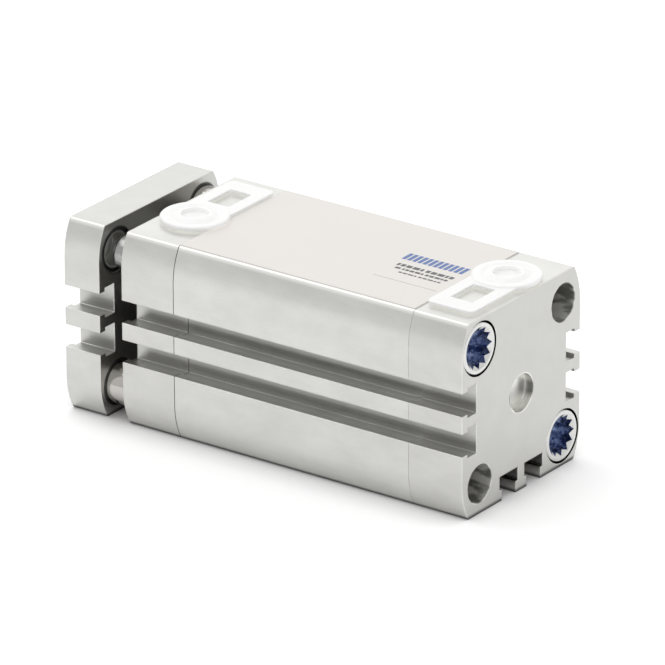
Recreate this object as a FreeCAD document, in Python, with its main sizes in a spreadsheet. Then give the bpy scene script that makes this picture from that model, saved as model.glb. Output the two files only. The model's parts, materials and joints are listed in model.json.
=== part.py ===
"""Guided pneumatic cylinder, bore 32, stroke 50, built as separate pieces.

Units are millimetres.  The origin is the centre of the rear face, +X is the
way the piston rod extends, +Y is one long side and +Z is the side with the
air ports.  Every size is a named cell of the Dims sheet, written once.
"""
import FreeCAD, Part
import os
import Sketcher

doc = FreeCAD.newDocument("guided_cylinder")
dims = doc.addObject("Spreadsheet::Sheet", "Dims")

# name, number or formula.  Formulas use the names above them.
SIZES = [
    # the whole cylinder
    ("stroke", "50"),
    ("dead_length", "44"),
    ("body_length", "=dead_length + stroke"),
    ("half_width", "23"),
    ("half_height", "23.5"),
    ("flat_half", "20.6"),
    ("side_arc", "17"),
    ("side_half", "=half_height - sqrt(side_arc^2 - (flat_half - half_width + side_arc)^2)"),
    ("side_arc_centre", "=half_width - side_arc"),
    ("edge_round", "0.7"),
    ("edge_reach", "=side_arc - edge_round"),
    ("edge_climb", "=half_height - edge_round - side_half"),
    ("edge_flat", "=side_arc_centre + sqrt(edge_reach^2 - edge_climb^2)"),
    ("edge_across", "=side_arc_centre + (edge_flat - side_arc_centre) * side_arc / edge_reach"),
    ("edge_up", "=side_half + edge_climb * side_arc / edge_reach"),
    ("fixing_pitch", "32.5"),
    ("corner", "=fixing_pitch / 2"),
    ("cap_length", "14.6"),
    ("barrel_end", "=body_length - cap_length"),
    ("barrel_length", "=barrel_end - cap_length"),
    ("yoke_gap", "6.4"),
    ("yoke_length", "9.8"),
    ("yoke_start", "=body_length + yoke_gap"),
    ("yoke_end", "=yoke_start + yoke_length"),
    # T-slots for position sensors
    ("slot_centre", "4.85"),
    ("slot_opening", "5.5"),
    ("slot_room", "7.2"),
    ("slot_floor", "17.5"),
    ("side_lip", "2"),
    ("base_lip", "2.7"),
    ("open_near", "=slot_centre - slot_opening / 2"),
    ("open_far", "=slot_centre + slot_opening / 2"),
    ("room_near", "=slot_centre - slot_room / 2"),
    ("room_far", "=slot_centre + slot_room / 2"),
    ("side_lip_inner", "=half_width - side_lip"),
    ("base_lip_inner", "=half_height - base_lip"),
    # fits
    ("press_play", "0.02"),
    ("slide_play", "0.05"),
    ("seat_play", "0.1"),
    # bore, caps and their seals
    ("bore_radius", "16"),
    ("spigot_length", "2.2"),
    ("spigot_radius", "=bore_radius - slide_play"),
    ("ring_section", "1.4"),
    ("ring_chamfer", "0.4"),
    ("ring_depth", "=ring_section + seat_play"),
    ("ring_outer", "=bore_radius + ring_section"),
    ("ring_seat_radius", "=ring_outer + slide_play"),
    ("bumper_inner", "7.4"),
    ("bumper_outer", "11"),
    ("bumper_depth", "1.6"),
    ("bumper_proud", "0.6"),
    ("bumper_length", "=bumper_depth + bumper_proud"),
    ("centring_radius", "4.5"),
    ("centring_depth", "2.1"),
    # ports
    ("port_inset", "8.2"),
    ("port_offset", "6"),
    ("port_mouth_radius", "4.9"),
    ("port_mouth_depth", "2.2"),
    ("port_thread_radius", "4.283"),
    ("port_depth", "11.6"),
    ("air_radius", "1.8"),
    ("air_lift", "0.7"),
    ("air_height", "=half_height - port_depth + air_lift"),
    # flange screws
    ("head_radius", "6.1"),
    ("head_length", "5"),
    ("head_sink", "0.1"),
    ("head_seat", "=head_sink + head_length"),
    ("head_play", "0.36"),
    ("head_chamfer", "0.25"),
    ("head_room", "=head_radius + head_play"),
    ("shank_radius", "3.9"),
    ("shank_room", "4.2"),
    ("nose_round", "1"),
    ("screw_proud", "5"),
    ("socket_corner", "4.95"),
    ("socket_depth", "4.4"),
    ("mouth_radius", "5.1"),
    ("mouth_inner", "3.8"),
    ("mouth_depth", "0.9"),
    ("fixing_thread_radius", "2.5"),
    ("fixing_thread_depth", "12"),
    # piston rod, guide rods and their bushes
    ("rod_radius", "6"),
    ("rod_chamfer", "0.5"),
    ("rod_bush_outer", "7"),
    ("rod_bush_length", "5.6"),
    ("rod_seal_outer", "9.5"),
    ("rod_seal_inset", "1.2"),
    ("rod_seal_length", "3.4"),
    ("rod_seal_lip", "1.4"),
    ("rod_seal_hollow", "1.3"),
    ("rod_seal_apex", "7.4"),
    ("wiper_outer", "9"),
    ("wiper_length", "3.6"),
    ("wiper_body", "2.2"),
    ("wiper_lip", "1.3"),
    ("guide_radius", "5"),
    ("guide_end_gap", "0.6"),
    ("guide_start", "=cap_length + guide_end_gap"),
    ("guide_room_gap", "0.3"),
    ("guide_room", "=guide_radius + guide_room_gap"),
    ("guide_vent_step", "0.4"),
    ("guide_vent_radius", "=guide_radius - guide_vent_step"),
    ("guide_bush_wall", "1"),
    ("guide_bush_outer", "=guide_radius + guide_bush_wall"),
    ("guide_bush_inset", "0.6"),
    ("guide_bush_length", "13"),
    # piston
    ("rest_play", "0.1"),
    ("piston_start", "=cap_length + spigot_length + bumper_proud + rest_play"),
    ("piston_end", "=body_length - piston_start - stroke"),
    ("piston_radius", "15.8"),
    ("piston_rim", "0.5"),
    ("piston_seal_length", "1.7"),
    ("piston_seal_inner", "13.4"),
    ("piston_seal_outer", "=bore_radius - slide_play"),
    ("piston_seal_chamfer", "0.4"),
    ("magnet_inset", "2.9"),
    ("magnet_inner", "12.4"),
    ("magnet_outer", "14.8"),
    ("wear_ring_inner", "=magnet_outer + slide_play"),
    ("wear_ring_outer", "=bore_radius - slide_play"),
    ("piston_screw_room", "5.3"),
    ("piston_screw_sink", "4.4"),
    ("rod_spigot_radius", "4.4"),
    ("rod_spigot_length", "2"),
    ("o_ring_outer", "5.8"),
    ("o_ring_length", "1.2"),
    # cap screws M6 and countersunk screws M5
    ("screw_radius", "3"),
    ("screw_room", "3.3"),
    ("screw_length", "14"),
    ("screw_head_radius", "5"),
    ("screw_head_length", "4"),
    ("screw_head_chamfer", "0.5"),
    ("hexagon_corner", "2.9"),
    ("hexagon_half", "=hexagon_corner / 2"),
    ("hexagon_flat", "=hexagon_corner * sqrt(3) / 2"),
    ("hexagon_depth", "2.4"),
    ("small_screw_radius", "2.5"),
    ("small_screw_room", "2.75"),
    ("small_screw_length", "15"),
    ("small_head_radius", "4.7"),
    ("small_head_sink", "0.2"),
    ("small_head_length", "=small_head_radius - small_screw_radius"),
    ("small_hexagon_corner", "1.75"),
    ("small_hexagon_half", "=small_hexagon_corner / 2"),
    ("small_hexagon_flat", "=small_hexagon_corner * sqrt(3) / 2"),
    ("small_hexagon_depth", "1.8"),
    # yoke plate
    ("rod_seat_depth", "1.5"),
    ("yoke_counterbore_radius", "5.5"),
    ("yoke_counterbore_depth", "5"),
    ("guide_seat_depth", "4.5"),
    ("spot_face_radius", "5.36"),
    ("spot_face_depth", "0.3"),
    ("nose_room", "4.05"),
    ("nose_room_depth", "4.3"),
    # label
    ("label_inset", "0.2"),
    ("label_margin", "0.1"),
    ("label_half", "=edge_flat - label_margin"),
    ("label_thickness", "0.2"),
    # port covers
    ("cover_lift", "0.4"),
    ("cover_radius", "8"),
    ("cover_thickness", "1"),
    ("cover_bevel", "0.25"),
    ("cover_rim_inner", "6.4"),
    ("cover_trough_radius", "5.3"),
    ("cover_trough_depth", "0.3"),
    ("cover_ring_radius", "3.9"),
    ("cover_ring_rise", "0.35"),
    ("cover_well_radius", "3.2"),
    ("cover_well_floor", "0.4"),
    ("cover_plug_radius", "4.8"),
    ("cover_plug_length", "1.9"),
    ("tab_half", "6.2"),
    ("tab_start", "4.9"),
    ("tab_reach", "22.5"),
    ("tab_corner", "1.6"),
    ("tab_thickness", "0.6"),
    ("window_half", "3"),
    ("window_start", "8.7"),
    ("window_end", "17.7"),
]

for row, (alias, content) in enumerate(SIZES, start=1):
    dims.set("A%d" % row, alias)
    dims.set("B%d" % row, content)
    dims.setAlias("B%d" % row, alias)
doc.recompute()


# A length is written as a sum of names, such as "yoke_end - head_sink".

def value(length):
    """The number that a sum of names stands for."""
    total = 0.0
    sign = 1.0
    for word in length.split():
        if word in ("+", "-"):
            sign = 1.0 if word == "+" else -1.0
        elif word != "0":
            total += sign * float(dims.get(word))
    return total


def formula(length):
    """The same sum as an expression on the sheet."""
    words = []
    for word in length.split():
        words.append(word if word in ("+", "-", "0") else "Dims." + word)
    return " ".join(words)


def minus(length):
    """The negative of a single name."""
    return length[2:] if length.startswith("- ") else "- " + length


# Sketch helpers

def new_body(name):
    return doc.addObject("PartDesign::Body", name)


def new_sketch(body, role, shift=("0", "0", "0")):
    """A sketch on one of the body's own planes, moved by named lengths."""
    plane = [item for item in body.Origin.OriginFeatures if item.Role == role][0]
    sketch = body.newObject("Sketcher::SketchObject", body.Name + "_sketch")
    sketch.AttachmentSupport = (plane, [""])
    sketch.MapMode = "FlatFace"
    for axis, length in zip("xyz", shift):
        if length != "0":
            sketch.setExpression("AttachmentOffset.Base." + axis, formula(length))
    return sketch


def fix_coordinate(sketch, kind, geometry, point, length):
    """Tie one coordinate of a sketch point to a named length."""
    axis = -2 if kind == "DistanceX" else -1
    number = value(length)
    if abs(number) < 1e-9:
        sketch.addConstraint(Sketcher.Constraint("PointOnObject", geometry, point, axis))
    elif number > 0:
        item = sketch.addConstraint(Sketcher.Constraint(kind, -1, 1, geometry, point, number))
        sketch.setExpression("Constraints[%d]" % item, formula(length))
    else:
        item = sketch.addConstraint(Sketcher.Constraint(kind, geometry, point, -1, 1, -number))
        sketch.setExpression("Constraints[%d]" % item, "-(" + formula(length) + ")")


def fix_radius(sketch, geometry, length):
    item = sketch.addConstraint(Sketcher.Constraint("Radius", geometry, value(length)))
    sketch.setExpression("Constraints[%d]" % item, formula(length))


def arc_between(start, end, radius):
    """The counterclockwise arc of a radius from start to end, under a half turn."""
    chord = end - start
    to_centre = FreeCAD.Vector(-chord.y, chord.x, 0).normalize()
    rise = (radius ** 2 - (chord.Length / 2) ** 2) ** 0.5
    middle = start + chord * 0.5
    bulge = middle - to_centre * (radius - rise)
    return Part.Arc(start, bulge, end)


def draw_outline(sketch, corners):
    """A closed outline.  A corner with a third item starts an arc of that radius."""
    points = [FreeCAD.Vector(value(corner[0]), value(corner[1]), 0) for corner in corners]
    first = None
    for index, corner in enumerate(corners):
        start = points[index]
        end = points[(index + 1) % len(points)]
        if len(corner) == 3:
            edge = arc_between(start, end, value(corner[2]))
        else:
            edge = Part.LineSegment(start, end)
        geometry = sketch.addGeometry(edge, False)
        if first is None:
            first = geometry
    for index, corner in enumerate(corners):
        following = first + (index + 1) % len(corners)
        sketch.addConstraint(Sketcher.Constraint("Coincident", first + index, 2, following, 1))
    for index, corner in enumerate(corners):
        fix_coordinate(sketch, "DistanceX", first + index, 1, corner[0])
        fix_coordinate(sketch, "DistanceY", first + index, 1, corner[1])
        if len(corner) == 3:
            fix_radius(sketch, first + index, corner[2])


def draw_circle(sketch, across, up, radius):
    centre = FreeCAD.Vector(value(across), value(up), 0)
    circle = Part.Circle(centre, FreeCAD.Vector(0, 0, 1), value(radius))
    geometry = sketch.addGeometry(circle, False)
    fix_coordinate(sketch, "DistanceX", geometry, 3, across)
    fix_coordinate(sketch, "DistanceY", geometry, 3, up)
    fix_radius(sketch, geometry, radius)


# Feature helpers

def pad(body, sketch, length):
    feature = body.newObject("PartDesign::Pad", body.Name + "_pad")
    feature.Profile = sketch
    feature.setExpression("Length", formula(length))
    doc.recompute()
    return feature


def pocket(body, sketch, length, forward=True):
    """A pocket along the sketch's normal, or against it when forward is False."""
    before = body.Shape.Volume
    feature = body.newObject("PartDesign::Pocket", body.Name + "_pocket")
    feature.Profile = sketch
    feature.Reversed = forward
    feature.setExpression("Length", formula(length))
    doc.recompute()
    if body.Shape.Volume > before - 0.01:
        raise RuntimeError(feature.Name + " cuts nothing")
    return feature


def turned(name, corners, across="0", up="0"):
    """A solid of revolution about a line along X.  Corners are (along X, radius)."""
    body = new_body(name)
    sketch = new_sketch(body, "XY_Plane", ("0", across, up))
    draw_outline(sketch, corners)
    feature = body.newObject("PartDesign::Revolution", name + "_turn")
    feature.Profile = sketch
    feature.ReferenceAxis = (sketch, ["H_Axis"])
    feature.Angle = 360
    doc.recompute()
    return body


def ring(name, start, end, inner, outer, across="0", up="0"):
    corners = [(start, inner), (end, inner), (end, outer), (start, outer)]
    return turned(name, corners, across, up)


def turned_cut(body, corners, across, up):
    """A cut turned about a line along X.  Corners are (along X, radius)."""
    before = body.Shape.Volume
    sketch = new_sketch(body, "XY_Plane", ("0", across, up))
    draw_outline(sketch, corners)
    feature = body.newObject("PartDesign::Groove", body.Name + "_groove")
    feature.Profile = sketch
    feature.ReferenceAxis = (sketch, ["H_Axis"])
    feature.Angle = 360
    doc.recompute()
    if body.Shape.Volume > before - 0.01:
        raise RuntimeError(feature.Name + " cuts nothing")


def round_pad(body, start, length, radius):
    sketch = new_sketch(body, "YZ_Plane", ("0", "0", start))
    draw_circle(sketch, "0", "0", radius)
    return pad(body, sketch, length)


def drill(body, start, length, radius, spots=(("0", "0"),)):
    """Round holes towards +X, starting at the plane x = start."""
    sketch = new_sketch(body, "YZ_Plane", ("0", "0", start))
    for across, up in spots:
        draw_circle(sketch, across, up, radius)
    return pocket(body, sketch, length)


def ring_pocket(body, start, length, inner, outer):
    sketch = new_sketch(body, "YZ_Plane", ("0", "0", start))
    draw_circle(sketch, "0", "0", outer)
    draw_circle(sketch, "0", "0", inner)
    return pocket(body, sketch, length)


def hexagon(sketch, corner, half, flat):
    draw_outline(sketch, [
        (corner, "0"), (half, flat), (minus(half), flat),
        (minus(corner), "0"), (minus(half), minus(flat)), (half, minus(flat)),
    ])


def half_turn_pair(name, body):
    """The body and a copy of it turned half a turn about the X axis, as one node."""
    twin = doc.addObject("App::Link", name + "_twin")
    twin.LinkedObject = body
    half_turn = FreeCAD.Rotation(FreeCAD.Vector(1, 0, 0), 180)
    twin.Placement = FreeCAD.Placement(FreeCAD.Vector(0, 0, 0), half_turn)
    return group(name, [body, twin])


def group(name, members):
    node = doc.addObject("Part::Compound", name)
    node.Links = members
    return node


# The outline that barrel, caps and yoke plate share

def slot_corners(face, lip_inner):
    """One side's two T-slots, as (distance from the axis, position along the side)."""
    corners = []
    for near, far, room_low, room_high in (
        ("- open_far", "- open_near", "- room_far", "- room_near"),
        ("open_near", "open_far", "room_near", "room_far"),
    ):
        corners += [
            (face, near), (lip_inner, near), (lip_inner, room_low), ("slot_floor", room_low),
            ("slot_floor", room_high), (lip_inner, room_high), (lip_inner, far), (face, far),
        ]
    return corners


def section_corners():
    side = slot_corners("half_width", "side_lip_inner")
    base = slot_corners("half_height", "base_lip_inner")
    corners = [("half_width", "- side_half")]
    corners += side
    corners += [("half_width", "side_half", "side_arc"), ("edge_across", "edge_up", "edge_round")]
    corners += [("edge_flat", "half_height"), ("- edge_flat", "half_height", "edge_round")]
    corners += [("- edge_across", "edge_up", "side_arc"), ("- half_width", "side_half")]
    corners += [(minus(out), minus(along)) for out, along in side]
    corners += [("- half_width", "- side_half", "side_arc")]
    corners += [("- edge_across", "- edge_up", "edge_round"), ("- edge_flat", "- half_height")]
    corners += [(along, minus(out)) for out, along in base]
    corners += [("edge_flat", "- half_height", "edge_round")]
    corners += [("edge_across", "- edge_up", "side_arc")]
    return corners


def extruded_block(name, start, length):
    body = new_body(name)
    sketch = new_sketch(body, "YZ_Plane", ("0", "0", start))
    draw_outline(sketch, section_corners())
    pad(body, sketch, length)
    return body


# The flange screws stand on one diagonal and the guide rods on the other.
SCREW_SPOTS = (("corner", "corner"), ("- corner", "- corner"))
GUIDE_SPOTS = (("corner", "- corner"), ("- corner", "corner"))


# Casing

def make_barrel():
    body = extruded_block("barrel", "cap_length", "barrel_length")
    drill(body, "cap_length", "barrel_length", "bore_radius")
    drill(body, "cap_length", "ring_depth", "ring_seat_radius")
    drill(body, "barrel_end - ring_depth", "ring_depth", "ring_seat_radius")
    drill(body, "cap_length", "barrel_length", "shank_room", SCREW_SPOTS)
    drill(body, "cap_length", "barrel_length", "guide_room", GUIDE_SPOTS)
    return body


def cut_port(body, along, across):
    """A threaded port from the top face, with a wider mouth above the thread."""
    mouth = new_sketch(body, "XY_Plane", ("0", "0", "half_height"))
    draw_circle(mouth, along, across, "port_mouth_radius")
    pocket(body, mouth, "port_mouth_depth", forward=False)
    thread = new_sketch(body, "XY_Plane", ("0", "0", "half_height"))
    draw_circle(thread, along, across, "port_thread_radius")
    pocket(body, thread, "port_depth", forward=False)


def make_end_cap():
    body = extruded_block("end_cap", "0", "cap_length")
    round_pad(body, "cap_length", "spigot_length", "spigot_radius")
    drill(body, "0", "centring_depth", "centring_radius")
    drill(body, "0", "head_seat", "head_room", SCREW_SPOTS)
    drill(body, "head_seat", "cap_length - head_seat", "shank_room", SCREW_SPOTS)
    drill(body, "0", "cap_length", "guide_vent_radius", GUIDE_SPOTS)
    ring_pocket(body, "cap_length + spigot_length - bumper_depth", "bumper_depth",
                "bumper_inner", "bumper_outer")
    cut_port(body, "port_inset", "- port_offset")
    drill(body, "port_inset + air_radius", "cap_length + spigot_length - port_inset - air_radius",
          "air_radius", (("- port_offset", "air_height"),))
    return body


def make_bearing_cap():
    body = extruded_block("bearing_cap", "barrel_end", "cap_length")
    round_pad(body, "barrel_end - spigot_length", "spigot_length", "spigot_radius")
    drill(body, "barrel_end - spigot_length", "cap_length + spigot_length",
          "rod_bush_outer + press_play")
    drill(body, "barrel_end + rod_seal_inset", "rod_seal_length", "rod_seal_outer + seat_play")
    drill(body, "body_length - wiper_length", "wiper_length", "wiper_outer + press_play")
    drill(body, "barrel_end", "cap_length", "shank_radius + press_play", SCREW_SPOTS)
    drill(body, "barrel_end", "cap_length", "guide_bush_outer + press_play", GUIDE_SPOTS)
    ring_pocket(body, "barrel_end - spigot_length", "bumper_depth",
                "bumper_inner", "bumper_outer")
    cut_port(body, "body_length - port_inset", "port_offset")
    drill(body, "barrel_end - spigot_length",
          "cap_length + spigot_length - port_inset - air_radius",
          "air_radius", (("port_offset", "air_height"),))
    return body


def make_flange_screw():
    """Socket screw with a female thread behind its twelve-point socket.

    The socket is a triple square: three squares, each a twelfth of a turn on.
    A cone breaks the edges at its mouth.
    """
    end = "body_length + screw_proud"
    body = turned("flange_screw", [
        ("head_sink", "0"),
        (end, "0"),
        (end, "shank_radius - nose_round", "nose_round"),
        (end + " - nose_round", "shank_radius"),
        ("head_seat", "shank_radius"),
        ("head_seat", "head_radius"),
        ("head_sink + head_chamfer", "head_radius"),
        ("head_sink", "head_radius - head_chamfer"),
    ], "corner", "corner")
    sketch = new_sketch(body, "YZ_Plane", ("corner", "corner", "head_sink"))
    draw_outline(sketch, [
        ("socket_corner", "0"), ("0", "socket_corner"),
        ("- socket_corner", "0"), ("0", "- socket_corner"),
    ])
    socket = pocket(body, sketch, "socket_depth")
    points = body.newObject("PartDesign::PolarPattern", "socket_points")
    points.Originals = [socket]
    points.Axis = (sketch, ["N_Axis"])
    points.Angle = 60
    points.Occurrences = 3
    body.Tip = points
    doc.recompute()
    turned_cut(body, [
        ("head_sink", "0"),
        ("head_sink + mouth_depth", "0"),
        ("head_sink + mouth_depth", "mouth_inner"),
        ("head_sink", "mouth_radius"),
    ], "corner", "corner")
    drill(body, "head_sink + socket_depth", "fixing_thread_depth", "fixing_thread_radius",
          (("corner", "corner"),))
    return body


def make_barrel_seal(name, start):
    """Ring squeezed between a cap's spigot and the barrel's end, nearly square."""
    end = start + " + ring_section"
    return turned(name, [
        (start, "bore_radius + ring_chamfer"),
        (start + " + ring_chamfer", "bore_radius"),
        (end + " - ring_chamfer", "bore_radius"),
        (end, "bore_radius + ring_chamfer"),
        (end, "ring_outer - ring_chamfer"),
        (end + " - ring_chamfer", "ring_outer"),
        (start + " + ring_chamfer", "ring_outer"),
        (start, "ring_outer - ring_chamfer"),
    ])


def make_rod_wiper():
    """Scraper ring: a solid heel and a thin lip that leans onto the rod."""
    front = "body_length"
    back = "body_length - wiper_length"
    heel = "body_length - wiper_length + wiper_body"
    return turned("rod_wiper", [
        (back, "rod_radius + slide_play + wiper_lip"),
        (heel, "rod_radius + slide_play + wiper_lip"),
        (front, "rod_radius + slide_play"),
        (front, "rod_radius + slide_play + seat_play"),
        (heel + " + seat_play", "wiper_outer"),
        (back, "wiper_outer"),
    ])


def make_rod_seal():
    """Lip seal, hollow on its pressure side."""
    back = "barrel_end + rod_seal_inset + seat_play"
    front = "barrel_end + rod_seal_inset + rod_seal_length - seat_play"
    hollow = "barrel_end + rod_seal_inset + rod_seal_hollow"
    return turned("rod_seal", [
        (back, "rod_radius + slide_play"),
        (front, "rod_radius + slide_play"),
        (front, "rod_seal_outer"),
        (back, "rod_seal_outer"),
        (back, "rod_seal_outer - rod_seal_lip"),
        (hollow, "rod_seal_apex"),
        (back, "rod_bush_outer"),
    ])


def make_label():
    body = new_body("label_plate")
    sketch = new_sketch(body, "XY_Plane", ("0", "0", "half_height"))
    low = "cap_length + label_inset"
    high = "barrel_end - label_inset"
    draw_outline(sketch, [
        (low, "- label_half"), (high, "- label_half"), (high, "label_half"), (low, "label_half"),
    ])
    pad(body, sketch, "label_thickness")
    return body


# Moving group

def make_piston():
    """Piston with two seal grooves and a middle groove for magnet and wear ring."""
    seal_b = "piston_end - piston_rim - piston_seal_length"
    return turned("piston", [
        ("piston_start", "piston_screw_room"),
        ("piston_start + piston_screw_sink", "piston_screw_room"),
        ("piston_start + piston_screw_sink", "screw_room"),
        ("piston_end - rod_spigot_length", "screw_room"),
        ("piston_end - rod_spigot_length", "rod_spigot_radius + press_play"),
        ("piston_end - o_ring_length", "rod_spigot_radius + press_play"),
        ("piston_end - o_ring_length", "o_ring_outer + press_play"),
        ("piston_end", "o_ring_outer + press_play"),
        ("piston_end", "piston_radius"),
        ("piston_end - piston_rim", "piston_radius"),
        ("piston_end - piston_rim", "piston_seal_inner - press_play"),
        (seal_b, "piston_seal_inner - press_play"),
        (seal_b, "piston_radius"),
        ("piston_end - magnet_inset", "piston_radius"),
        ("piston_end - magnet_inset", "magnet_inner - press_play"),
        ("piston_start + magnet_inset", "magnet_inner - press_play"),
        ("piston_start + magnet_inset", "piston_radius"),
        ("piston_start + piston_rim + piston_seal_length", "piston_radius"),
        ("piston_start + piston_rim + piston_seal_length", "piston_seal_inner - press_play"),
        ("piston_start + piston_rim", "piston_seal_inner - press_play"),
        ("piston_start + piston_rim", "piston_radius"),
        ("piston_start", "piston_radius"),
    ])


def make_piston_seal(name, start):
    """Ring whose middle stands out to the bore."""
    end = start + " + piston_seal_length - seat_play"
    return turned(name, [
        (start + " + seat_play", "piston_seal_inner"),
        (end, "piston_seal_inner"),
        (end, "piston_radius - rest_play"),
        (end + " - piston_seal_chamfer", "piston_seal_outer"),
        (start + " + seat_play + piston_seal_chamfer", "piston_seal_outer"),
        (start + " + seat_play", "piston_radius - rest_play"),
    ])


def make_piston_rod():
    """Rod with a female thread at each end and a spigot into the piston."""
    front = "yoke_start + rod_seat_depth"
    rear = "piston_end - rod_spigot_length"
    bore = "screw_radius + press_play"
    return turned("piston_rod", [
        (rear, bore),
        (front, bore),
        (front, "rod_radius - rod_chamfer"),
        (front + " - rod_chamfer", "rod_radius"),
        ("piston_end", "rod_radius"),
        ("piston_end", "rod_spigot_radius"),
        (rear, "rod_spigot_radius"),
    ])


def make_piston_screw():
    """Cap screw from the piston's rear face into the rod."""
    face = "piston_start + piston_screw_sink - screw_head_length"
    seat = "piston_start + piston_screw_sink"
    body = turned("piston_screw", [
        (face, "0"),
        (seat + " + screw_length", "0"),
        (seat + " + screw_length", "screw_radius"),
        (seat, "screw_radius"),
        (seat, "screw_head_radius"),
        (face + " + screw_head_chamfer", "screw_head_radius"),
        (face, "screw_head_radius - screw_head_chamfer"),
    ])
    sketch = new_sketch(body, "YZ_Plane", ("0", "0", face))
    hexagon(sketch, "hexagon_corner", "hexagon_half", "hexagon_flat")
    pocket(body, sketch, "hexagon_depth")
    return body


def make_rod_screw():
    """Cap screw from the yoke's front face into the piston rod."""
    seat = "yoke_end - yoke_counterbore_depth"
    face = seat + " + screw_head_length"
    body = turned("rod_screw", [
        (seat + " - screw_length", "0"),
        (face, "0"),
        (face, "screw_head_radius - screw_head_chamfer"),
        (face + " - screw_head_chamfer", "screw_head_radius"),
        (seat, "screw_head_radius"),
        (seat, "screw_radius"),
        (seat + " - screw_length", "screw_radius"),
    ])
    sketch = new_sketch(body, "YZ_Plane", ("0", "0", face))
    hexagon(sketch, "hexagon_corner", "hexagon_half", "hexagon_flat")
    pocket(body, sketch, "hexagon_depth", forward=False)
    return body


def make_guide_rod():
    front = "yoke_start + guide_seat_depth"
    thread_end = "yoke_end - small_head_sink - small_screw_length - rod_chamfer"
    return turned("guide_rod", [
        ("guide_start", "0"),
        (thread_end, "0"),
        (thread_end, "small_screw_radius + press_play"),
        (front, "small_screw_radius + press_play"),
        (front, "guide_radius - rod_chamfer"),
        (front + " - rod_chamfer", "guide_radius"),
        ("guide_start + rod_chamfer", "guide_radius"),
        ("guide_start", "guide_radius - rod_chamfer"),
    ], "corner", "- corner")


def make_guide_rod_screw():
    """Countersunk screw from the yoke's front face into a guide rod."""
    face = "yoke_end - small_head_sink"
    body = turned("guide_rod_screw", [
        (face + " - small_screw_length", "0"),
        (face, "0"),
        (face, "small_head_radius"),
        (face + " - small_head_length", "small_screw_radius"),
        (face + " - small_screw_length", "small_screw_radius"),
    ], "corner", "- corner")
    sketch = new_sketch(body, "YZ_Plane", ("corner", "- corner", face))
    hexagon(sketch, "small_hexagon_corner", "small_hexagon_half", "small_hexagon_flat")
    pocket(body, sketch, "small_hexagon_depth", forward=False)
    return body


def make_yoke_plate():
    body = extruded_block("yoke_plate", "yoke_start", "yoke_length")
    drill(body, "yoke_start", "rod_seat_depth", "rod_radius + seat_play")
    drill(body, "yoke_start", "yoke_length", "screw_room")
    drill(body, "yoke_end - yoke_counterbore_depth", "yoke_counterbore_depth",
          "yoke_counterbore_radius")
    drill(body, "yoke_start", "guide_seat_depth", "guide_radius + press_play", GUIDE_SPOTS)
    drill(body, "yoke_start", "yoke_length", "small_screw_room", GUIDE_SPOTS)
    drill(body, "yoke_start", "spot_face_depth", "spot_face_radius", SCREW_SPOTS)
    drill(body, "yoke_start", "nose_room_depth", "nose_room", SCREW_SPOTS)
    drill(body, "yoke_start", "yoke_length", "fixing_thread_radius", SCREW_SPOTS)
    for across, up in GUIDE_SPOTS:
        countersink(body, across, up)
    return body


def countersink(body, across, up):
    """Cone for a countersunk head, open at the yoke's front face."""
    bottom = "yoke_end - small_head_sink - small_head_length"
    turned_cut(body, [
        (bottom, "0"),
        ("yoke_end", "0"),
        ("yoke_end", "small_head_radius + small_head_sink + press_play"),
        (bottom, "small_screw_radius + press_play"),
    ], across, up)


# Port covers

def make_port_cover(name, along, across, turn):
    """Plastic cap for a port: a disc with a trough and a raised ring, and a tab."""
    body = new_body(name)
    under = "half_height + cover_lift"

    disc = new_sketch(body, "XZ_Plane", ("0", under, "0"))
    draw_outline(disc, [
        ("0", "- cover_plug_length"),
        ("cover_plug_radius", "- cover_plug_length"),
        ("cover_plug_radius", "0"),
        ("cover_radius", "0"),
        ("cover_radius", "cover_thickness - cover_bevel"),
        ("cover_radius - cover_bevel", "cover_thickness"),
        ("cover_rim_inner", "cover_thickness"),
        ("cover_trough_radius", "cover_thickness - cover_trough_depth"),
        ("cover_ring_radius", "cover_thickness + cover_ring_rise"),
        ("cover_well_radius", "cover_thickness + cover_ring_rise"),
        ("cover_well_radius", "cover_well_floor"),
        ("0", "cover_well_floor"),
    ])
    turn_disc = body.newObject("PartDesign::Revolution", name + "_disc")
    turn_disc.Profile = disc
    turn_disc.ReferenceAxis = (disc, ["V_Axis"])
    turn_disc.Angle = 360

    tab = new_sketch(body, "XY_Plane", ("0", "0", under))
    draw_outline(tab, [
        ("tab_half", "tab_start"),
        ("tab_half", "tab_reach - tab_corner", "tab_corner"),
        ("tab_half - tab_corner", "tab_reach"),
        ("- tab_half + tab_corner", "tab_reach", "tab_corner"),
        ("- tab_half", "tab_reach - tab_corner"),
        ("- tab_half", "tab_start"),
    ])
    draw_outline(tab, [
        ("- window_half", "window_start"), ("window_half", "window_start"),
        ("window_half", "window_end"), ("- window_half", "window_end"),
    ])
    pad(body, tab, "tab_thickness")

    body.Placement = FreeCAD.Placement(
        FreeCAD.Vector(value(along), value(across), 0),
        FreeCAD.Rotation(FreeCAD.Vector(0, 0, 1), turn))
    body.setExpression("Placement.Base.x", formula(along))
    body.setExpression("Placement.Base.y", formula(across))
    doc.recompute()
    return body


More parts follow.
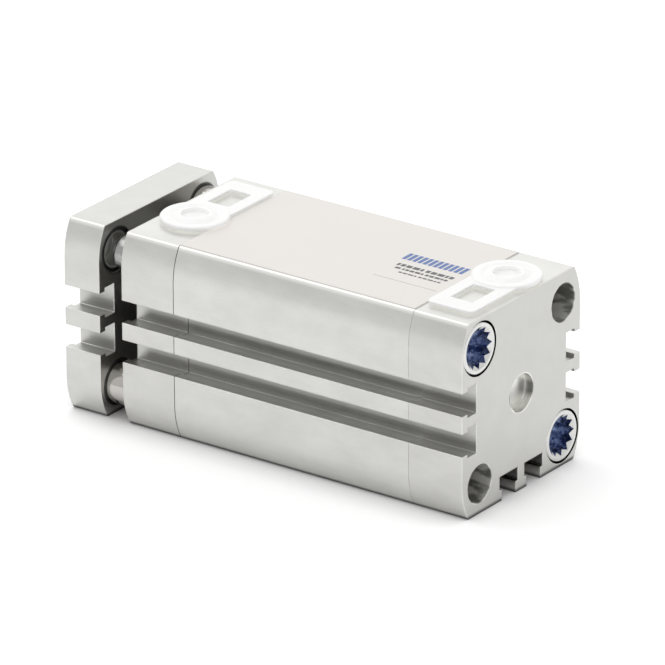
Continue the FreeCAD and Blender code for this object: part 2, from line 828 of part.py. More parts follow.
def make_nodes():
    bush_start = "body_length - guide_bush_inset - guide_bush_length"
    bush_end = "body_length - guide_bush_inset"
    magnet = ("piston_start + magnet_inset + seat_play", "piston_end - magnet_inset - seat_play")
    seal_a = "piston_start + piston_rim"
    seal_b = "piston_end - piston_rim - piston_seal_length"
    bumper_a = "cap_length + spigot_length"
    bumper_b = "barrel_end - spigot_length"
    guide_bush = ring("guide_rod_bush", bush_start, bush_end,
                      "guide_radius + slide_play", "guide_bush_outer", "corner", "- corner")
    return [
        make_barrel(),
        make_end_cap(),
        make_bearing_cap(),
        half_turn_pair("flange_screws", make_flange_screw()),
        group("barrel_seals", [
            make_barrel_seal("rear_barrel_seal", "cap_length + slide_play"),
            make_barrel_seal("front_barrel_seal", "barrel_end - ring_depth + slide_play"),
        ]),
        ring("rear_bumper", bumper_a + " - bumper_depth", bumper_a + " + bumper_proud",
             "bumper_inner + seat_play", "bumper_outer - seat_play"),
        ring("front_bumper", bumper_b + " - bumper_proud", bumper_b + " + bumper_depth",
             "bumper_inner + seat_play", "bumper_outer - seat_play"),
        ring("rod_bush", "body_length - wiper_length - rod_bush_length",
             "body_length - wiper_length", "rod_radius + slide_play", "rod_bush_outer"),
        make_rod_seal(),
        make_rod_wiper(),
        half_turn_pair("guide_rod_bushes", guide_bush),
        make_label(),
        make_piston(),
        group("piston_seals", [
            make_piston_seal("rear_piston_seal", seal_a),
            make_piston_seal("front_piston_seal", seal_b),
        ]),
        ring("piston_magnet", magnet[0], magnet[1], "magnet_inner", "magnet_outer"),
        ring("piston_wear_ring", magnet[0], magnet[1], "wear_ring_inner", "wear_ring_outer"),
        ring("piston_o_ring", "piston_end - o_ring_length + seat_play", "piston_end - seat_play",
             "rod_spigot_radius + press_play", "o_ring_outer"),
        make_piston_screw(),
        make_piston_rod(),
        make_yoke_plate(),
        make_rod_screw(),
        half_turn_pair("guide_rods", make_guide_rod()),
        half_turn_pair("guide_rod_screws", make_guide_rod_screw()),
        make_port_cover("port_cover_rear", "port_inset", "- port_offset", 0),
        make_port_cover("port_cover_front", "body_length - port_inset", "port_offset", 180),
    ]


def write_parts(nodes):
    """Check every object, then write one STEP file for each node."""
    doc.recompute()
    for item in doc.Objects:
        if "Invalid" in item.State or "Error" in item.State:
            raise RuntimeError(item.Name + " did not build")
    os.makedirs("parts", exist_ok=True)
    for node in nodes:
        shape = node.Shape
        if shape.isNull() or not shape.isValid():
            raise RuntimeError(node.Name + " has no valid shape")
        print("%-20s %d solid(s) %10.1f mm3" % (node.Name, len(shape.Solids), shape.Volume))
        shape.exportStep("parts/%s.step" % node.Name)


write_parts(make_nodes())
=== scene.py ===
"""Looks of the guided pneumatic cylinder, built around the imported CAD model.

The CAD nodes carry the shapes. This script gives each one its finish and its softened
edges, adds the fine pieces (screw threads and the generic print on the label), and sets
up the floor, the light and the camera.

Frame: X along the cylinder towards the yoke, Y to the long side, Z to the ports. Metres.
"""
import json
import math

import bmesh
import bpy
from mathutils import Matrix, Vector


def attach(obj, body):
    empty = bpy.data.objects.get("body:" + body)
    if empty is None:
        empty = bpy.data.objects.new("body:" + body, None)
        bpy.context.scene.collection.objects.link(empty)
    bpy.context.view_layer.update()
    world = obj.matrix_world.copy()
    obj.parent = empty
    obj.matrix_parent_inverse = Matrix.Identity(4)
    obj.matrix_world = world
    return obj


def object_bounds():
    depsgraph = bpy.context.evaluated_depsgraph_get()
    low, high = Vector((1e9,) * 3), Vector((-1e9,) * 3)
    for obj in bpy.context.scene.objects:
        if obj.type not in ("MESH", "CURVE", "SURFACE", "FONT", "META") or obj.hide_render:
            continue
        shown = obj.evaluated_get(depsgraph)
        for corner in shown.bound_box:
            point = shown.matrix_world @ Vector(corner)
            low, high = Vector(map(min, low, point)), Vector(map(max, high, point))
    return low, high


MM = 0.001

# Camera
LENS = 455.0
AIM = Vector((51.7, 0.2, 2.1)) * MM
DISTANCE = 1898 * MM
AZIMUTH = math.radians(215.9)
ELEVATION = math.radians(22.8)
ROLL = math.radians(-0.28)

# Light
SKY_STRENGTH = 0.86
OVERHEAD_PLACE = (0.9, 0.15, 1.55)
OVERHEAD_SIZE = 1.2
OVERHEAD_POWER = 5.0
BACK_PLACE = (0.81, -1.12, 0.66)
BACK_SIZE = 1.1
BACK_POWER = 1.6
FLOOR_COLOUR = 0.88
FLOOR_LIFT = 0.3
FLOOR_SIZE = 6.0

# Places on the object, from its own sizes
CORNER = 16.25 * MM
SOCKET_RADIUS = 5.1 * MM
SOCKET_FLOOR = 4 * MM
SOCKET_BOTTOM = 4.5 * MM
HEAD_SIDE = 6.04 * MM
REAR_SCREW_PART = 17 * MM
FRONT_SCREW_NOSE = 90 * MM
PORT_SPOTS = ((8.2 * MM, -6 * MM), (85.8 * MM, 6 * MM))
COUNTERBORE_RADIUS = 6.46 * MM
COUNTERBORE_FLOOR = 2.6 * MM
BORE_RADIUS = 4.7 * MM
YOKE_SEAT_RADIUS = 5 * MM
BASE_SLOT_TOP = -15 * MM
CAP_LENGTH = 14.6 * MM
BARREL_END = 79.4 * MM
TOP = 23.5 * MM
GAP_MIDDLE = 97.2 * MM
GAP_HALF = 3.2 * MM
LABEL_TOP = 23.7 * MM
INK_HEIGHT = 0.015 * MM
M6_RADIUS = 2.5 * MM
M6_PITCH = 1 * MM
YOKE_THREAD_START = 104.7 * MM
YOKE_THREAD_LENGTH = 5.5 * MM
PORT_RADIUS = 4.283 * MM
PORT_PITCH = 0.907 * MM
PORT_MOUTH_DEPTH = 2.2 * MM
PORT_THREAD_LENGTH = 9.4 * MM
STEPS_PER_TURN = 40
# A thread's ridge, as shares of its pitch: how far it stands out, half its foot, half its crest
RIDGE_HEIGHT = 0.26
RIDGE_FOOT = 0.42
RIDGE_CREST = 0.06

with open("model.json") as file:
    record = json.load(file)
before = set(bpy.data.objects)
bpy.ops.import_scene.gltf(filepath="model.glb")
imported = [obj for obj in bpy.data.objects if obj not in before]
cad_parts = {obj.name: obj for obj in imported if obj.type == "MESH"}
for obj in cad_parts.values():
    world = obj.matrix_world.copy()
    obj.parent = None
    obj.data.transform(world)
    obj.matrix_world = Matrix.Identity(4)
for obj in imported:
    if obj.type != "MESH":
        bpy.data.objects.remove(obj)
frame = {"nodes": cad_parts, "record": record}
nodes = frame["nodes"]


def note_size():
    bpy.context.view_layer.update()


note_size()


# ---------------------------------------------------------------- material helpers

class Graph:
    """A material's node tree, with short calls for adding and joining nodes."""

    def __init__(self, name, colour, metallic, roughness):
        self.material = bpy.data.materials.new(name)
        self.material.use_nodes = True
        self.tree = self.material.node_tree
        self.shader = self.tree.nodes["Principled BSDF"]
        self.set("Base Color", (*colour, 1))
        self.set("Metallic", metallic)
        self.set("Roughness", roughness)

    def set(self, socket, value):
        self.shader.inputs[socket].default_value = value

    def add(self, kind, **settings):
        node = self.tree.nodes.new(kind)
        for key, value in settings.items():
            setattr(node, key, value)
        return node

    def join(self, source, target):
        self.tree.links.new(source, target)

    def place(self):
        """The point on the object, in metres."""
        return self.add("ShaderNodeTexCoord").outputs["Object"]

    def scaled(self, source, scale):
        mapping = self.add("ShaderNodeMapping")
        mapping.inputs["Scale"].default_value = scale
        self.join(source, mapping.inputs["Vector"])
        return mapping.outputs["Vector"]

    def noise(self, source, scale, detail=3.0, roughness=0.5):
        """Noise from 0 to 1, with scale in cycles a metre along X, Y and Z."""
        node = self.add("ShaderNodeTexNoise")
        self.join(self.scaled(source, scale), node.inputs["Vector"])
        node.inputs["Scale"].default_value = 1.0
        node.inputs["Detail"].default_value = detail
        node.inputs["Roughness"].default_value = roughness
        return node.outputs["Fac"]

    def span(self, source, low, high, to_low, to_high):
        """The source's low..high spread over to_low..to_high, and held at its ends."""
        node = self.add("ShaderNodeMapRange")
        self.join(source, node.inputs["Value"])
        node.inputs["From Min"].default_value = low
        node.inputs["From Max"].default_value = high
        node.inputs["To Min"].default_value = to_low
        node.inputs["To Max"].default_value = to_high
        return node.outputs["Result"]

    def math(self, operation, first, second=None):
        node = self.add("ShaderNodeMath", operation=operation)
        for socket, value in zip(node.inputs, (first, second)):
            if value is None:
                continue
            if isinstance(value, (int, float)):
                socket.default_value = value
            else:
                self.join(value, socket)
        return node.outputs["Value"]

    def both(self, first, second):
        return self.math("MULTIPLY", first, second)

    def either(self, first, second):
        return self.math("MAXIMUM", first, second)

    def outside(self, mask):
        """1 where the mask is 0, and 0 where it is 1."""
        return self.span(mask, 0.0, 1.0, 1.0, 0.0)

    def mix(self, factor, first, second):
        """Colour from first (factor 0) to second (factor 1)."""
        node = self.add("ShaderNodeMix", data_type="RGBA")
        self.join(factor, node.inputs["Factor"])
        for socket, value in zip((node.inputs[6], node.inputs[7]), (first, second)):
            if isinstance(value, tuple):
                socket.default_value = (*value, 1)
            else:
                self.join(value, socket)
        return node.outputs[2]

    def bump(self, height, depth, strength=1.0, over=None):
        """Bump of the given depth in metres."""
        node = self.add("ShaderNodeBump")
        node.inputs["Strength"].default_value = strength
        node.inputs["Distance"].default_value = depth
        self.join(height, node.inputs["Height"])
        if over is not None:
            self.join(over, node.inputs["Normal"])
        return node.outputs["Normal"]

    def split(self, vector):
        node = self.add("ShaderNodeSeparateXYZ")
        self.join(vector, node.inputs["Vector"])
        return node.outputs["X"], node.outputs["Y"], node.outputs["Z"]

    def edges(self, radius):
        """1 on sharp edges, falling to 0 a radius away."""
        soft = self.rounded(radius)
        plain = self.add("ShaderNodeNewGeometry").outputs["Normal"]
        across = self.add("ShaderNodeVectorMath", operation="DOT_PRODUCT")
        self.join(soft, across.inputs[0])
        self.join(plain, across.inputs[1])
        return self.span(across.outputs["Value"], 0.995, 0.8, 0.0, 1.0)

    def rounded(self, radius):
        """The normal of a surface whose sharp edges are worn to a radius."""
        bevel = self.add("ShaderNodeBevel", samples=6)
        bevel.inputs["Radius"].default_value = radius
        return bevel.outputs["Normal"]

    def openness(self, distance, own=False):
        """1 in the open, falling to 0 in slots and gaps narrower than the distance."""
        node = self.add("ShaderNodeAmbientOcclusion", samples=8, only_local=own)
        node.inputs["Distance"].default_value = distance
        return node.outputs["AO"]

    def from_axis(self, place, corner):
        """Distance from a line along X, at the same corner distance in each quarter."""
        x, y, z = self.split(place)
        across = self.math("SUBTRACT", self.math("ABSOLUTE", y), corner)
        up = self.math("SUBTRACT", self.math("ABSOLUTE", z), corner)
        square = self.math("ADD", self.both(across, across), self.both(up, up))
        return self.math("SQRT", square)

    def near(self, source, level, full, none):
        """1 within full of a level, falling to 0 at none from it."""
        away = self.math("ABSOLUTE", self.math("SUBTRACT", source, level))
        return self.span(away, full, none, 1.0, 0.0)


# How far painted shade darkens the side slots, the base slots, and the gap before the yoke
SLOT_SHADE = 0.36
BASE_SLOT_SHADE = 0.97
GAP_SHADE = 0.8
# How bright the covers' painted glow is, which stands in for light that comes through the thin plastic
COVER_GLOW = 0.5


def shade(colour, amount):
    return tuple(min(1.0, part * amount) for part in colour)


# ---------------------------------------------------------------- materials

def anodised_film(g, place, z, lines, patches, facing, colour, top):
    """The film's tone: cloudy, with a few specks; darker on the milled end faces, a duller finish and
    painted shade; lighter on top, as painted light.
    """
    tint = g.math("ADD", g.both(lines, 0.3), patches)
    cloudy = g.span(tint, 0.42, 0.88, 0.0, 1.0)
    base = g.mix(cloudy, shade(colour, 0.92), shade(colour, 1.05))
    specks = g.span(g.noise(place, (1500, 1500, 1500), detail=1), 0.72, 0.78, 0.0, 0.2)
    base = g.mix(specks, base, shade(colour, 0.6))
    # The end faces are darkened: a duller milled finish, and painted shade
    milled = g.span(facing, 0.9, 0.95, 0.0, 0.6)
    base = g.mix(milled, base, shade(colour, 0.91))
    # Painted light: the top faces are lightened by the factor top
    on_top = g.span(z, TOP - 0.3 * MM, TOP - 0.05 * MM, 0.0, 1.0)
    return g.mix(on_top, base, g.mix(cloudy, shade(colour, 0.95 * top), shade(colour, 1.03 * top)))


def bore_masks(g, place, x):
    """1 inside the guide-rod bores at the rear, and 1 inside the centring bore."""
    edge = BORE_RADIUS + 0.1 * MM
    in_guide = g.span(g.from_axis(place, CORNER), BORE_RADIUS, edge, 1.0, 0.0)
    in_guide = g.both(in_guide, g.span(x, CAP_LENGTH, CAP_LENGTH + 1 * MM, 1.0, 0.0))
    in_centre = g.span(g.from_axis(place, 0.0), BORE_RADIUS, edge, 1.0, 0.0)
    return in_guide, in_centre


def bore_walls(g, place, x, z, base, in_guide, in_centre, colour):
    """Bright machined walls, lightened further as painted light in the deep bores: stains in the guide
    bores, scores in the centre, and a dark patch in the centre that is a painted reflection.
    """
    # The bores' walls are lightened: a brighter machined finish, and painted light inside the deep bores
    base = g.mix(g.either(in_guide, in_centre), base, shade(colour, 1.5))
    scores = g.span(g.noise(place, (2600, 200, 200), detail=2), 0.45, 0.6, 0.0, 0.5)
    base = g.mix(g.both(in_centre, scores), base, shade(colour, 0.8))
    stains = g.span(g.noise(place, (160, 420, 420), detail=3), 0.42, 0.56, 0.0, 1.0)
    base = g.mix(g.both(in_guide, stains), base, shade(colour, 0.55))
    # A dark patch just inside the centring bore's mouth: a painted reflection
    near_mouth = g.span(x, 1.3 * MM, 2.6 * MM, 0.95, 0.0)
    dark_reflection = g.both(g.near(z, -0.3 * MM, 1.0 * MM, 2.4 * MM), near_mouth)
    return g.mix(g.both(in_centre, dark_reflection), base, shade(colour, 0.35))


def recess_shade(g, x, z, in_bore):
    """Painted shade in the slots and in the gap before the yoke, darker the more closed in they are; none
    on top or in bores.
    """
    below_top = g.span(z, TOP - 0.2 * MM, TOP - 0.05 * MM, 1.0, 0.0)
    takes_shade = g.both(below_top, g.outside(in_bore))
    open_air = g.openness(6 * MM, own=True)
    side_slots = g.span(open_air, 0.2, 0.9, SLOT_SHADE, 0.0)
    at_base = g.span(z, BASE_SLOT_TOP, BASE_SLOT_TOP - 1 * MM, 0.0, 1.0)
    base_slots = g.both(at_base, g.span(open_air, 0.35, 0.7, BASE_SLOT_SHADE, 0.0))
    in_gap = g.near(x, GAP_MIDDLE, GAP_HALF + 0.05 * MM, GAP_HALF + 0.1 * MM)
    gap = g.both(in_gap, g.span(g.openness(14 * MM), 0.04, 0.2, GAP_SHADE, 0.0))
    return g.both(g.either(g.either(side_slots, base_slots), gap), takes_shade)


def worn_edges_and_highlights(g, z, patches, facing, in_bore):
    """Bright along sharp edges, from wear and a painted highlight, and a painted highlight in a band below
    the top's long edges.
    """
    sharp = g.both(g.edges(0.4 * MM), g.span(patches, 0.35, 0.6, 0.5, 1.0))
    sharp = g.both(sharp, g.outside(in_bore))
    rising = g.span(z, TOP - 1.1 * MM, TOP - 0.5 * MM, 0.0, 0.8)
    band = g.both(rising, g.span(facing, 0.2, 0.5, 1.0, 0.0))
    band = g.both(band, g.span(z, TOP - 0.05 * MM, TOP - 0.02 * MM, 1.0, 0.0))
    return g.either(sharp, band)


def joint_dirt_and_shade(g, place, x):
    """Dark lines: dirt in the two seams, and painted shade on the walls round the screw heads and in the
    yoke's seats.
    """
    front_seam = g.near(x, BARREL_END, 0.05 * MM, 0.13 * MM)
    rear_seam = g.both(g.near(x, CAP_LENGTH, 0.02 * MM, 0.09 * MM), 0.5)
    out = g.from_axis(place, CORNER)
    round_heads = g.near(out, COUNTERBORE_RADIUS, 0.03 * MM, 0.05 * MM)
    head_walls = g.both(round_heads, g.near(x, COUNTERBORE_FLOOR, 2.52 * MM, 2.56 * MM))
    seats = g.near(out, YOKE_SEAT_RADIUS, 0.45 * MM, 0.8 * MM)
    seats = g.both(seats, g.near(x, GAP_MIDDLE + GAP_HALF, 0.4 * MM, 0.45 * MM))
    dark_lines = g.either(g.either(front_seam, rear_seam), head_walls)
    return g.either(dark_lines, g.both(seats, 0.9))


def satin_aluminium(name, colour, roughness, streak, grain, top=1.0):
    """Anodised aluminium with lines left by the extrusion along X and a fine etched grain."""
    g = Graph(name, colour, 1.0, roughness)
    place = g.place()
    x, _, z = g.split(place)
    lines = g.noise(place, (6, 2600, 2600), detail=4)
    patches = g.noise(place, (90, 170, 170), detail=5, roughness=0.6)
    etch = g.noise(place, (5200, 5200, 5200), detail=2)
    rings = g.noise(place, (5200, 160, 160), detail=3)
    facing = g.math("ABSOLUTE", g.split(g.add("ShaderNodeNewGeometry").outputs["Normal"])[0])
    in_guide, in_centre = bore_masks(g, place, x)
    in_bore = g.either(in_guide, in_centre)

    base = anodised_film(g, place, z, lines, patches, facing, colour, top)
    base = bore_walls(g, place, x, z, base, in_guide, in_centre, colour)
    # Painted shade: slots and the gap before the yoke are darkened by how closed in they are
    base = g.mix(recess_shade(g, x, z, in_bore), base, shade(colour, 0.04))
    # Edges lightened: wear, and painted highlights
    base = g.mix(worn_edges_and_highlights(g, z, patches, facing, in_bore), base, shade(colour, 1.45))
    # Painted shadow: the lowest millimetre of the sides is darkened where they meet the floor; the band
    # also takes in the whole base face and paints it dark
    foot = g.span(z, 1.0 * MM - TOP, 0.4 * MM - TOP, 0.0, 0.85)
    base = g.mix(foot, base, shade(colour, 0.1))
    # Dark lines: dirt in the seams, painted shade round the screw heads and in the yoke's seats
    base = g.mix(joint_dirt_and_shade(g, place, x), base, shade(colour, 0.03))
    g.join(base, g.shader.inputs["Base Color"])

    rough = g.span(lines, 0.3, 0.7, roughness - 0.04, roughness + 0.05)
    rough = g.both(rough, g.span(in_centre, 0.0, 1.0, 1.0, 0.9))
    rough = g.both(rough, g.span(in_guide, 0.0, 1.0, 1.0, 1.6))
    g.join(rough, g.shader.inputs["Roughness"])
    normal = g.bump(lines, streak, over=g.rounded(0.4 * MM))
    normal = g.bump(g.both(in_bore, rings), 0.03 * MM, over=normal)
    g.join(g.bump(etch, grain, over=normal), g.shader.inputs["Normal"])
    return g.material


def flange_screw_steel():
    """Bright zinc on the head's face; blue passivation down in the sockets, darkened as painted shade of
    the deep sockets, with lighter patches as a painted sheen; the head's side and the front nose are
    darkened as painted shade.
    """
    bright = (0.70, 0.70, 0.685)
    # deep and sheen: the sockets' blue, made dark as painted shade, with lighter random patches as a
    # painted sheen
    deep = (0.11, 0.145, 0.28)
    sheen = (0.62, 0.68, 0.82)
    g = Graph("flange_screw_steel", bright, 1.0, 0.22)
    place = g.place()
    x = g.split(place)[0]
    out = g.from_axis(place, CORNER)
    in_socket = g.span(out, SOCKET_RADIUS, SOCKET_RADIUS - 0.05 * MM, 0.0, 1.0)
    facing = g.split(g.add("ShaderNodeNewGeometry").outputs["Normal"])[0]
    past_cone = g.span(g.both(facing, facing), 0.2, 0.3, 1.0, 0.0)
    at_bottom = g.span(x, SOCKET_FLOOR, SOCKET_FLOOR + 0.1 * MM, 0.0, 1.0)
    below_face = g.either(past_cone, at_bottom)
    at_rear = g.span(x, REAR_SCREW_PART + 1 * MM, REAR_SCREW_PART, 0.0, 1.0)
    inside = g.both(g.both(in_socket, below_face), at_rear)
    on_side = g.both(g.span(out, HEAD_SIDE, HEAD_SIDE + 0.05 * MM, 0.0, 1.0), at_rear)
    stain = g.noise(place, (900, 900, 900), detail=3)
    blue = g.mix(g.span(stain, 0.38, 0.62, 0.0, 1.0), deep, sheen)
    turned = g.noise(place, (9000, 500, 500), detail=2)
    zinc = g.mix(g.span(turned, 0.3, 0.7, 0.0, 1.0), shade(bright, 0.93), bright)
    # Painted shade: the head's side in the counterbore is nearly black, and the front nose is darkened
    shaded_zinc = g.mix(on_side, zinc, shade(bright, 0.06))
    on_nose = g.span(x, FRONT_SCREW_NOSE, FRONT_SCREW_NOSE + 3 * MM, 0.0, 1.0)
    shaded_zinc = g.mix(on_nose, shaded_zinc, shade(bright, 0.52))
    g.join(g.mix(inside, shaded_zinc, blue), g.shader.inputs["Base Color"])
    g.join(g.span(stain, 0.3, 0.7, 0.16, 0.30), g.shader.inputs["Roughness"])
    g.join(g.bump(turned, 0.004 * MM, over=g.rounded(0.1 * MM)), g.shader.inputs["Normal"])
    return g.material


def zinc_steel():
    """Small cap screws: zinc plate with faint cloudy marks."""
    colour = (0.60, 0.61, 0.63)
    g = Graph("cap_screw_steel", colour, 1.0, 0.28)
    clouds = g.noise(g.place(), (900, 900, 900), detail=3)
    g.join(g.mix(clouds, shade(colour, 0.85), shade(colour, 1.08)), g.shader.inputs["Base Color"])
    g.join(g.span(clouds, 0.3, 0.7, 0.22, 0.36), g.shader.inputs["Roughness"])
    return g.material


def ground_rod_steel():
    """Hard, ground rods: fine rings round the rod from the grinding wheel."""
    colour = (0.50, 0.48, 0.455)
    g = Graph("rod_steel", colour, 1.0, 0.1)
    place = g.place()
    rings = g.noise(place, (16000, 300, 300), detail=2)
    smears = g.noise(place, (120, 300, 300), detail=3)
    g.join(g.mix(smears, shade(colour, 0.93), shade(colour, 1.03)), g.shader.inputs["Base Color"])
    g.join(g.span(rings, 0.3, 0.7, 0.06, 0.14), g.shader.inputs["Roughness"])
    g.join(g.bump(rings, 0.001 * MM), g.shader.inputs["Normal"])
    return g.material


def turned_aluminium():
    """The piston: bare metal with turning rings."""
    colour = (0.68, 0.68, 0.68)
    g = Graph("aluminium_piston", colour, 1.0, 0.3)
    rings = g.noise(g.place(), (9000, 150, 150), detail=2)
    g.join(g.mix(rings, shade(colour, 0.9), shade(colour, 1.06)), g.shader.inputs["Base Color"])
    g.join(g.bump(rings, 0.004 * MM), g.shader.inputs["Normal"])
    return g.material


def sintered_bronze():
    """Porous bearing bronze with dark oil-filled pores."""
    colour = (0.52, 0.36, 0.17)
    g = Graph("bearing_bronze", colour, 1.0, 0.42)
    pores = g.noise(g.place(), (4200, 4200, 4200), detail=3)
    g.join(g.mix(g.span(pores, 0.4, 0.62, 0.0, 1.0), shade(colour, 0.45), colour),
           g.shader.inputs["Base Color"])
    g.join(g.bump(pores, 0.01 * MM), g.shader.inputs["Normal"])
    return g.material


def moulded_rubber(name, level):
    """Matt black rubber with a faint bloom."""
    g = Graph(name, (level, level, level), 0.0, 0.62)
    bloom = g.noise(g.place(), (500, 500, 500), detail=4)
    g.join(g.mix(bloom, (level * 0.7,) * 3, (level * 1.6,) * 3), g.shader.inputs["Base Color"])
    g.join(g.span(bloom, 0.3, 0.7, 0.5, 0.72), g.shader.inputs["Roughness"])
    g.join(g.bump(bloom, 0.01 * MM), g.shader.inputs["Normal"])
    return g.material


def speckled_plastic(name, colour, speck, roughness):
    """A filled plastic, with the filler showing as specks."""
    g = Graph(name, colour, 0.0, roughness)
    specks = g.noise(g.place(), (6000, 6000, 6000), detail=2)
    g.join(g.mix(g.span(specks, 0.5, 0.62, 0.0, 1.0), colour, speck), g.shader.inputs["Base Color"])
    g.join(g.bump(specks, 0.006 * MM), g.shader.inputs["Normal"])
    return g.material


def cover_plastic():
    """Thin natural polyethylene: nearly white, softly shiny.

    Its inner walls and its underside are given a painted glow, in place of the light that comes through the
    thin sheet.
    """
    colour = (0.98, 0.983, 0.972)
    g = Graph("cover_plastic", colour, 0.0, 0.38)
    g.set("Subsurface Weight", 0.5)
    g.set("Subsurface Radius", (1.0, 1.0, 0.97))
    g.set("Subsurface Scale", 1 * MM)
    g.set("IOR", 1.5)
    g.set("Emission Color", (*colour, 1))
    # Painted light: emission where the cover is closed in
    within = g.span(g.openness(2 * MM), 0.12, 0.5, COVER_GLOW, 0.0)
    g.join(within, g.shader.inputs["Emission Strength"])
    place = g.place()
    clouds = g.noise(place, (220, 220, 220), detail=3)
    skin = g.noise(place, (1700, 1700, 1700), detail=3)
    g.join(g.mix(clouds, shade(colour, 0.975), shade(colour, 1.01)), g.shader.inputs["Base Color"])
    g.join(g.span(skin, 0.3, 0.7, 0.32, 0.46), g.shader.inputs["Roughness"])
    g.join(g.bump(skin, 0.008 * MM), g.shader.inputs["Normal"])
    return g.material


def label_film():
    """Silver-white printed film with a slight warm tone and a satin surface."""
    colour = (0.80, 0.765, 0.73)
    g = Graph("label_film", colour, 0.0, 0.42)
    place = g.place()
    clouds = g.noise(place, (70, 90, 90), detail=3)
    fibre = g.noise(place, (2400, 2400, 2400), detail=3)
    g.join(g.mix(clouds, shade(colour, 0.985), shade(colour, 1.015)), g.shader.inputs["Base Color"])
    g.join(g.span(fibre, 0.3, 0.7, 0.36, 0.48), g.shader.inputs["Roughness"])
    g.join(g.bump(fibre, 0.003 * MM), g.shader.inputs["Normal"])
    return g.material


def printed_ink(name, colour):
    """Ink laid on the film, a little uneven where the dots spread."""
    g = Graph(name, colour, 0.0, 0.5)
    dots = g.noise(g.place(), (5200, 5200, 5200), detail=3)
    lighter = tuple(part + (0.8 - part) * 0.12 for part in colour)
    g.join(g.mix(g.span(dots, 0.4, 0.7, 0.0, 1.0), colour, lighter), g.shader.inputs["Base Color"])
    return g.material


def stage_floor():
    """White floor. Seen directly or in a reflection it is lifted to white; shadows stay."""
    g = Graph("stage_floor", (FLOOR_COLOUR,) * 3, 0.0, 0.9)
    g.set("Specular IOR Level", 0.0)
    paths = g.add("ShaderNodeLightPath")
    seen = g.either(paths.outputs["Is Camera Ray"], paths.outputs["Is Glossy Ray"])
    seen = g.either(seen, paths.outputs["Is Transmission Ray"])
    g.set("Emission Color", (1, 1, 1, 1))
    lift = g.span(g.openness(12 * MM), 0.4, 0.85, 0.0, FLOOR_LIFT)
    g.join(g.both(seen, lift), g.shader.inputs["Emission Strength"])
    return g.material


FINISHES = {
    # top: how much lighter the top faces are painted than the sides, painted light from above
    "aluminium_body": satin_aluminium("aluminium_body", (0.635, 0.635, 0.61), 0.33, 0.0035 * MM, 0.005 * MM,
                                      top=1.3),
    "aluminium_cap": satin_aluminium("aluminium_cap", (0.615, 0.613, 0.587), 0.35, 0.002 * MM, 0.006 * MM,
                                     top=1.13),
    "aluminium_yoke": satin_aluminium("aluminium_yoke", (0.605, 0.605, 0.58), 0.35, 0.002 * MM, 0.006 * MM,
                                      top=1.05),
    "aluminium_piston": turned_aluminium(),
    "flange_screw_steel": flange_screw_steel(),
    "cap_screw_steel": zinc_steel(),
    "rod_steel": ground_rod_steel(),
    "bearing_bronze": sintered_bronze(),
    "seal_rubber": moulded_rubber("seal_rubber", 0.022),
    "bumper_rubber": moulded_rubber("bumper_rubber", 0.03),
    "label_film": label_film(),
    "magnet_plastic": speckled_plastic("magnet_plastic", (0.03, 0.03, 0.033), (0.09, 0.09, 0.1), 0.5),
    "wear_ring_plastic": speckled_plastic("wear_ring_plastic", (0.32, 0.27, 0.2), (0.42, 0.37, 0.3), 0.45),
    "cover_plastic": cover_plastic(),
}


def dress_nodes():
    for part in frame["record"]["subparts"]:
        mesh = nodes[part["node"]].data
        mesh.materials.clear()
        mesh.materials.append(FINISHES[part["material_slot"]])


# ---------------------------------------------------------------- fine pieces

def new_piece(name, form, material, body):
    """Makes an object from a bmesh, in its finish, riding on a body."""
    bmesh.ops.recalc_face_normals(form, faces=form.faces)
    mesh = bpy.data.meshes.new(name)
    form.to_mesh(mesh)
    form.free()
    mesh.materials.append(material)
    piece = bpy.data.objects.new(name, mesh)
    bpy.context.scene.collection.objects.link(piece)
    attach(piece, body)
    return piece


def add_thread(name, start, along, length, radius, pitch, slot, body):
    """The ridge of a female thread: a triangle carried round and along a hole's wall."""
    height = RIDGE_HEIGHT * pitch
    root = radius + 0.03 * MM
    side = Vector((0, 1, 0))
    other = along.cross(side)
    turns = length / pitch - 0.9
    steps = int(turns * STEPS_PER_TURN)
    form = bmesh.new()
    last = None
    for step in range(steps + 1):
        angle = math.tau * step / STEPS_PER_TURN
        outward = side * math.cos(angle) + other * math.sin(angle)
        middle = start + along * pitch * (step / STEPS_PER_TURN + 0.45)
        taper = min(1.0, step / 12, (steps - step) / 12)
        crest = root - (0.03 * MM + height * taper)
        profile = [
            form.verts.new(middle + outward * root - along * RIDGE_FOOT * pitch),
            form.verts.new(middle + outward * crest - along * RIDGE_CREST * pitch),
            form.verts.new(middle + outward * crest + along * RIDGE_CREST * pitch),
            form.verts.new(middle + outward * root + along * RIDGE_FOOT * pitch),
        ]
        if last is None:
            form.faces.new(profile)
        else:
            for index in range(4):
                following = (index + 1) % 4
                form.faces.new([last[index], last[following], profile[following], profile[index]])
        last = profile
    form.faces.new(last)
    new_piece(name, form, FINISHES[slot], body)


def add_threads():
    """M6 threads in the flange screws and the yoke, G1/8 threads in the ports."""
    ahead = Vector((1, 0, 0))
    for level, sign in (("upper", 1), ("lower", -1)):
        rear = Vector((SOCKET_BOTTOM, sign * CORNER, sign * CORNER))
        front = Vector((YOKE_THREAD_START, sign * CORNER, sign * CORNER))
        add_thread("flange_screw_thread_" + level, rear, ahead, 12 * MM, M6_RADIUS, M6_PITCH,
                   "flange_screw_steel", "cylinder")
        add_thread("yoke_thread_" + level, front, ahead, YOKE_THREAD_LENGTH, M6_RADIUS, M6_PITCH,
                   "aluminium_yoke", "rod")
    for end, (along, across) in zip(("rear", "front"), PORT_SPOTS):
        mouth = Vector((along, across, TOP - PORT_MOUTH_DEPTH))
        add_thread("port_thread_" + end, mouth, Vector((0, 0, -1)), PORT_THREAD_LENGTH,
                   PORT_RADIUS, PORT_PITCH, "aluminium_cap", "cylinder")


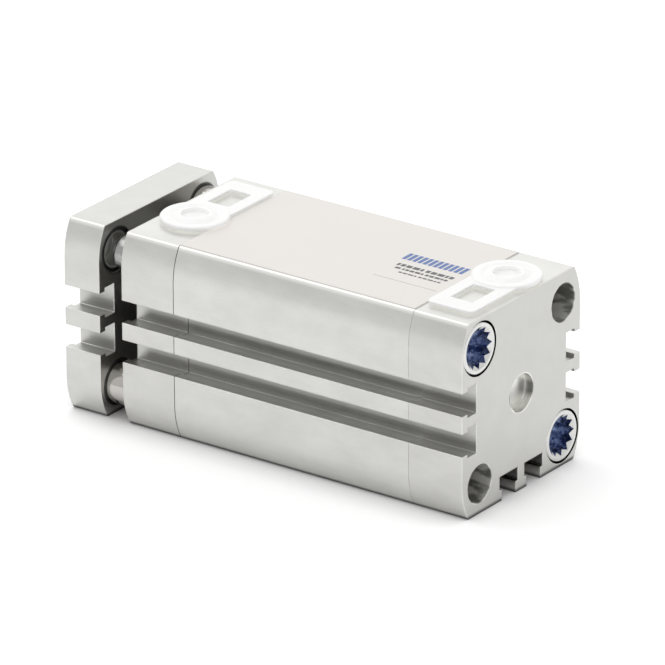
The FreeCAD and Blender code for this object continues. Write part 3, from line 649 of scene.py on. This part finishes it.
def add_print(name, blocks, material):
    """Ink on the label film. A block is (x from, x to, y from, y to) in millimetres."""
    form = bmesh.new()
    for low_x, high_x, low_y, high_y in blocks:
        outline = ((low_x, low_y), (high_x, low_y), (high_x, high_y), (low_x, high_y))
        rings = []
        for height in (LABEL_TOP - 0.01 * MM, LABEL_TOP + INK_HEIGHT):
            rings.append([form.verts.new((x * MM, y * MM, height)) for x, y in outline])
        form.faces.new(rings[0])
        form.faces.new(rings[1])
        for index in range(4):
            following = (index + 1) % 4
            form.faces.new([rings[0][index], rings[0][following],
                            rings[1][following], rings[1][index]])
    new_piece(name, form, material, "cylinder")


def dashes(start, end, low, high, size):
    """A row of dashes of mixed length, which stand for a line of small print."""
    blocks = []
    place = start
    count = 0
    while place + size < end:
        length = size * (1 + (count * 3 + 1) % 4 * 0.45)
        blocks.append((place, min(place + length, end), low, high))
        place += length + size * (0.9 if count % 5 == 4 else 0.45)
        count += 1
    return blocks


def add_label_print():
    """A generic print: a band of blue bars, three rows of dashes and a thin rule."""
    bars = [(17.6 + 1.4 * index, 18.6 + 1.4 * index, -5.4, -1.8) for index in range(12)]
    add_print("label_bars", bars, printed_ink("blue_ink", (0.09, 0.17, 0.42)))
    rows = dashes(17.6, 34.2, 0.6, 1.9, 0.75)
    rows += dashes(18.0, 32.8, 2.7, 3.6, 0.6)
    rows += dashes(18.6, 30.2, 4.7, 5.3, 0.6)
    add_print("label_rows", rows, printed_ink("grey_ink", (0.10, 0.10, 0.105)))
    add_print("label_rule", [(16.6, 33.8, 9.3, 9.5)], printed_ink("rule_ink", (0.45, 0.44, 0.43)))


# ---------------------------------------------------------------- camera, light and floor

def add_camera():
    back = Vector((math.sin(AZIMUTH) * math.cos(ELEVATION),
                   -math.cos(AZIMUTH) * math.cos(ELEVATION),
                   math.sin(ELEVATION)))
    camera = bpy.data.objects.new("camera", bpy.data.cameras.new("camera"))
    camera.data.lens = LENS
    camera.data.sensor_width = 36
    camera.data.clip_start = 0.1
    camera.data.clip_end = 20
    turn = (-back).to_track_quat("-Z", "Y").to_matrix().to_4x4()
    camera.matrix_world = Matrix.Translation(AIM + back * DISTANCE) @ turn @ Matrix.Rotation(ROLL, 4, "Z")
    bpy.context.scene.collection.objects.link(camera)
    bpy.context.scene.camera = camera


def add_floor():
    mesh = bpy.data.meshes.new("floor")
    form = bmesh.new()
    bmesh.ops.create_grid(form, x_segments=1, y_segments=1, size=FLOOR_SIZE / 2)
    form.to_mesh(mesh)
    form.free()
    mesh.materials.append(stage_floor())
    floor = bpy.data.objects.new("floor", mesh)
    floor.location.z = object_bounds()[0].z
    bpy.context.scene.collection.objects.link(floor)


def add_softbox(name, place, size, power):
    """A square area lamp that points at the middle of the object."""
    light = bpy.data.lights.new(name, "AREA")
    light.shape = "SQUARE"
    light.size = size
    light.energy = power
    lamp = bpy.data.objects.new(name, light)
    lamp.location = place
    lamp.rotation_euler = (Vector(place) - AIM).to_track_quat("Z", "Y").to_euler()
    bpy.context.scene.collection.objects.link(lamp)


def set_world():
    world = bpy.data.worlds.new("world")
    bpy.context.scene.world = world
    world.use_nodes = True
    background = world.node_tree.nodes["Background"]
    background.inputs["Color"].default_value = (1, 1, 1, 1)
    background.inputs["Strength"].default_value = SKY_STRENGTH


# ---------------------------------------------------------------- making

add_camera()
dress_nodes()
add_threads()
add_label_print()
add_floor()
add_softbox("overhead_softbox", OVERHEAD_PLACE, OVERHEAD_SIZE, OVERHEAD_POWER)
add_softbox("back_softbox", BACK_PLACE, BACK_SIZE, BACK_POWER)
set_world()
bpy.context.scene.view_settings.view_transform = "Standard"
note_size()
